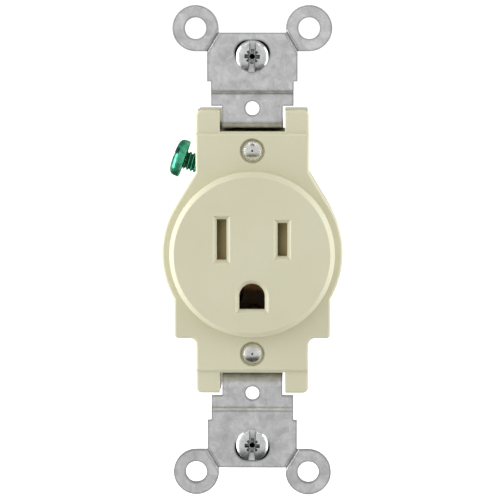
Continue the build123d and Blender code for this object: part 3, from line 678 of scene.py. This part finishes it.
def terminal_screws():
    """The wire screws on both sides, and the green ground screw, which leans by GREEN_TILT."""
    hot_seat = (SIDE_SEAT_X, SIDE_Y, SIDE_Z)
    neutral_seat = (-SIDE_SEAT_X, SIDE_Y, SIDE_Z)
    inward = (math.cos(GREEN_TILT), 0, -math.sin(GREEN_TILT))
    green_seat = GREEN_HEAD + Vector(inward) * (GREEN_HEAD_H / 2)
    screws = (
        ("hot_screw", "hot_terminal_screw", "brass_screw", BRASS_SCREW, hot_seat, (-1, 0, 0)),
        ("neutral_screw", "neutral_terminal_screw", "zinc_screw", ZINC, neutral_seat, (1, 0, 0)),
        ("green_screw", "ground_screw", "green_screw", GREEN, green_seat, inward),
    )
    for body, node, slot_name, surface, seat, axis in screws:
        green = body == "green_screw"
        length = GREEN_LENGTH if green else SIDE_LENGTH
        head_h = GREEN_HEAD_H if green else SIDE_HEAD_H
        turn = math.radians(GREEN_TURN if green else SIDE_TURN)
        cutters = drive_cutters(SIDE_HEAD_R, head_h, SIDE_SLOT, SIDE_BARS, turn)
        head = screw_head(SIDE_HEAD_R, head_h, SIDE_BRIM, SIDE_FULLNESS, cutters)
        name = f"{body}_threaded"
        mesh = screw_mesh(name, head, SIDE_SHANK_R, length, place(seat, axis, (0, 1, 0)))
        add_object(name, mesh, body, surface, node)


def rivet_profile():
    """A domed head with a punch mark, a shank, and a tubular tail rolled over behind."""
    crown = 0.85 * RIVET_HEAD_H
    ball = (RIVET_HEAD_R**2 + crown**2) / (2 * crown)
    reach = math.degrees(math.asin(RIVET_HEAD_R / ball))
    dome = arc((ball - RIVET_HEAD_H, 0.0), ball, 180 - 0.16 * reach, 180 - 0.95 * reach, 14)
    tail = RIVET_TAIL_Y - RIVET_SEAT_Y
    lip = tail + RIVET_TAIL_H
    roll = arc((tail + RIVET_ROLL_R, RIVET_TAIL_R - RIVET_ROLL_R), RIVET_ROLL_R, 135, 20, 5)
    bore = 0.6 * RIVET_SHANK_R
    return [
        *((depth - RIVET_HEAD_H, radius) for depth, radius in PUNCH_MARK),
        *dome,
        (-0.10 * RIVET_HEAD_H, RIVET_HEAD_R),
        (0.0, RIVET_HEAD_R - 0.03),
        (0.0, RIVET_SHANK_R),
        (tail, RIVET_SHANK_R),
        (tail, RIVET_TAIL_R - 0.12),
        *roll,
        (lip - 0.02, 1.25),
        (lip - 0.12, bore + 0.06),
        (lip - 0.4, bore),
        (tail - RIVET_TAIL_H, bore),
        (tail - RIVET_TAIL_H, 0.0),
    ]


def cover_rivet(end, rivet_z):
    """One of the two rivets through cover, body and strap."""

    def build(bm):
        lathe(bm, rivet_profile())
        bm.transform(place((0, RIVET_SEAT_Y, rivet_z), (0, 1, 0), (0, 0, 1)))

    name = f"cover_rivet_{end}_domed"
    mesh = mesh_from(name, build, math.radians(50))
    add_object(name, mesh, "receptacle", RIVET_STEEL, f"cover_rivet_{end}")


def coil(bm, segments=10, per_turn=40):
    """The spring's wire along a helix whose pitch closes up towards both ends."""
    count = int(SPRING_TURNS * per_turn)
    span = SPRING_FIXED_X - SPRING_START_X - 2 * SPRING_WIRE_R
    closed = SPRING_CLOSED_TURNS * per_turn
    steps = [min(1.0, min(i, count - i) / closed) + SPRING_CLOSED_PITCH for i in range(count)]
    total = sum(steps)
    along = SPRING_START_X + SPRING_WIRE_R
    rings = []
    for index in range(count + 1):
        angle = 2 * math.pi * index / per_turn
        radial = Vector((0, math.cos(angle), math.sin(angle)))
        centre = Vector((along, SPRING_Y, SPRING_Z)) + radial * SPRING_R
        ring = []
        for corner in range(segments):
            turn = 2 * math.pi * corner / segments
            offset = (Vector((1, 0, 0)) * math.cos(turn) + radial * math.sin(turn)) * SPRING_WIRE_R
            ring.append(bm.verts.new((centre + offset) * MM))
        rings.append(ring)
        if index < count:
            along += span * steps[index] / total
    tube(bm, rings)


def shutter_spring():
    """The spring that returns the shutter."""
    name = "shutter_spring_coil"
    mesh = mesh_from(name, coil)
    made = add_object(name, mesh, "receptacle", SPRING, "shutter_spring")
    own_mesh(made)


def paint_cad_nodes():
    """Gives the CAD nodes that stay their materials."""
    kept = {
        "front_cover": IVORY,
        "rear_body": IVORY_BACK,
        "mounting_strap": GALVANISED,
        "ground_terminal": GALVANISED,
        "hot_contact": CONTACT,
        "neutral_contact": CONTACT,
        # painted shade: the ground contact and its rivet, deep in the ground hole, take the darkened
        # brass
        "ground_contact": GROUND_CONTACT_SHADED,
        "ground_contact_rivet": GROUND_CONTACT_SHADED,
        "shutter_retainer": RETAINER,
        "shutter_slider": SHUTTER,
        "retaining_washer_top": WASHER,
        "retaining_washer_bottom": WASHER,
    }
    for node, surface in kept.items():
        target = frame["nodes"][node]
        target.data.materials.clear()
        target.data.materials.append(surface.data)


box_screw("top", 1, BOX_TOP_TURN)
box_screw("bottom", -1, BOX_BOTTOM_TURN)
terminal_screws()
for rivet_end, rivet_height in zip(("top", "bottom"), RIVET_ZS):
    cover_rivet(rivet_end, rivet_height)
shutter_spring()
paint_cad_nodes()


# ---------------------------------------------------------------- stage, light and camera


def stage_square(name, half_side, paint, passed_by):
    """A square of scenery that the kinds of ray in passed_by don't see."""
    bm = bmesh.new()
    bmesh.ops.create_grid(bm, x_segments=1, y_segments=1, size=half_side)
    mesh = bpy.data.meshes.new(name)
    bm.to_mesh(mesh)
    bm.free()
    mesh.materials.append(paint.data)
    made = bpy.data.objects.new(name, mesh)
    for ray in passed_by:
        setattr(made, f"visible_{ray}", False)
    bpy.context.scene.collection.objects.link(made)
    return made


def floor():
    """A wide pale floor under the lowest ears; it lights nothing, so the soft light stays even."""
    paint = Surface("floor_paint", Base_Color=(0.9, 0.9, 0.9, 1), Roughness=0.9)
    paint.shader.inputs["Emission Color"].default_value = (1, 1, 1, 1)
    paint.shader.inputs["Emission Strength"].default_value = FLOOR_GLOW
    made = stage_square("floor", FLOOR_HALF_SIDE, paint, ("diffuse", "glossy", "shadow"))
    made.location.z = cad_low.z - FLOOR_GAP


def dark_card(name, direction, distance, width, height):
    """A dark card in front of the object that only shows as a reflection in bright metal."""
    paint = Surface(f"{name}_paint", Base_Color=(0.01, 0.01, 0.01, 1), Roughness=0.9)
    made = stage_square(name, 0.5, paint, ("camera", "diffuse", "shadow"))
    made.scale = (width, height, 1)
    toward = Vector(direction).normalized()
    made.location = toward * distance
    made.rotation_euler = toward.to_track_quat("Z", "Y").to_euler()


def softbox(name, location, size, power):
    """A rectangular light aimed at the origin."""
    data = bpy.data.lights.new(name, "AREA")
    data.shape = "RECTANGLE"
    data.size, data.size_y = size
    data.energy = power
    made = bpy.data.objects.new(name, data)
    made.location = location
    made.rotation_euler = (-Vector(location)).to_track_quat("-Z", "Y").to_euler()
    bpy.context.scene.collection.objects.link(made)


def world():
    """Pale surroundings: white to the camera, soft light on matt surfaces, a studio in reflections.

    Places in it are directions from the object, from -1 to 1 along each axis.
    """
    made = bpy.data.worlds.new("surroundings")
    made.use_nodes = True
    tree = made.node_tree

    def span(source, low, high, to_low, to_high, smooth="LINEAR"):
        ranged = tree.nodes.new("ShaderNodeMapRange")
        ranged.interpolation_type = smooth
        values = (low, high, to_low, to_high)
        for socket, value in zip(("From Min", "From Max", "To Min", "To Max"), values):
            ranged.inputs[socket].default_value = value
        tree.links.new(source, ranged.inputs["Value"])
        return ranged.outputs["Result"]

    def background(strength):
        shade = tree.nodes.new("ShaderNodeBackground")
        shade.inputs["Color"].default_value = (1, 1, 1, 1)
        if isinstance(strength, float):
            shade.inputs["Strength"].default_value = strength
        else:
            tree.links.new(strength, shade.inputs["Strength"])
        return shade.outputs["Background"]

    def times(first, second):
        product = tree.nodes.new("ShaderNodeMath")
        product.operation = "MULTIPLY"
        tree.links.new(first, product.inputs[0])
        tree.links.new(second, product.inputs[1])
        return product.outputs["Value"]

    def choose(share, first, second):
        mixed = tree.nodes.new("ShaderNodeMixShader")
        tree.links.new(share, mixed.inputs["Fac"])
        tree.links.new(first, mixed.inputs[1])
        tree.links.new(second, mixed.inputs[2])
        return mixed.outputs["Shader"]

    direction = tree.nodes.new("ShaderNodeTexCoord").outputs["Generated"]
    parts = tree.nodes.new("ShaderNodeSeparateXYZ")
    tree.links.new(direction, parts.inputs["Vector"])
    lift = span(parts.outputs["Z"], -1.0, 1.0, LIGHT_BELOW, LIGHT_ABOVE)
    light = span(parts.outputs["Y"], -0.6, 0.6, LIGHT_FRONT, LIGHT_BACK, "SMOOTHSTEP")
    shine = span(parts.outputs["Y"], -0.5, 0.3, SHINE_FRONT, SHINE_BACK, "SMOOTHSTEP")
    below = span(parts.outputs["Z"], -0.65, -0.25, SHINE_BELOW, 1.0, "SMOOTHSTEP")
    above = span(parts.outputs["Z"], 0.25, 0.65, 1.0, SHINE_ABOVE, "SMOOTHSTEP")
    path = tree.nodes.new("ShaderNodeLightPath")
    lit = background(times(light, lift))
    unseen = choose(path.outputs["Is Glossy Ray"], lit, background(times(shine, times(below, above))))
    seen = choose(path.outputs["Is Camera Ray"], unseen, background(CAMERA_WHITE))
    tree.links.new(seen, tree.nodes["World Output"].inputs["Surface"])
    bpy.context.scene.world = made


def aim_camera():
    """The camera looks at the origin, from a little to the right and a little above."""
    data = bpy.data.cameras.new("camera")
    data.sensor_width = CAMERA_SENSOR
    data.lens = CAMERA_LENS
    data.shift_x = -SHIFT_RIGHT_PX / IMAGE_SIDE
    data.shift_y = SHIFT_DOWN_PX / IMAGE_SIDE
    made = bpy.data.objects.new("camera", data)
    level = math.cos(CAMERA_ELEVATION)
    right = math.sin(CAMERA_AZIMUTH) * level
    front = math.cos(CAMERA_AZIMUTH) * level
    back = Vector((right, -front, math.sin(CAMERA_ELEVATION)))
    made.location = back * CAMERA_DISTANCE
    made.rotation_euler = (-back).to_track_quat("-Z", "Y").to_euler()
    bpy.context.scene.collection.objects.link(made)
    bpy.context.scene.camera = made


floor()
world()
for box in SOFTBOXES:
    softbox(*box)
for card in DARK_CARDS:
    dark_card(*card)
aim_camera()
bpy.context.scene.view_settings.view_transform = "Standard"
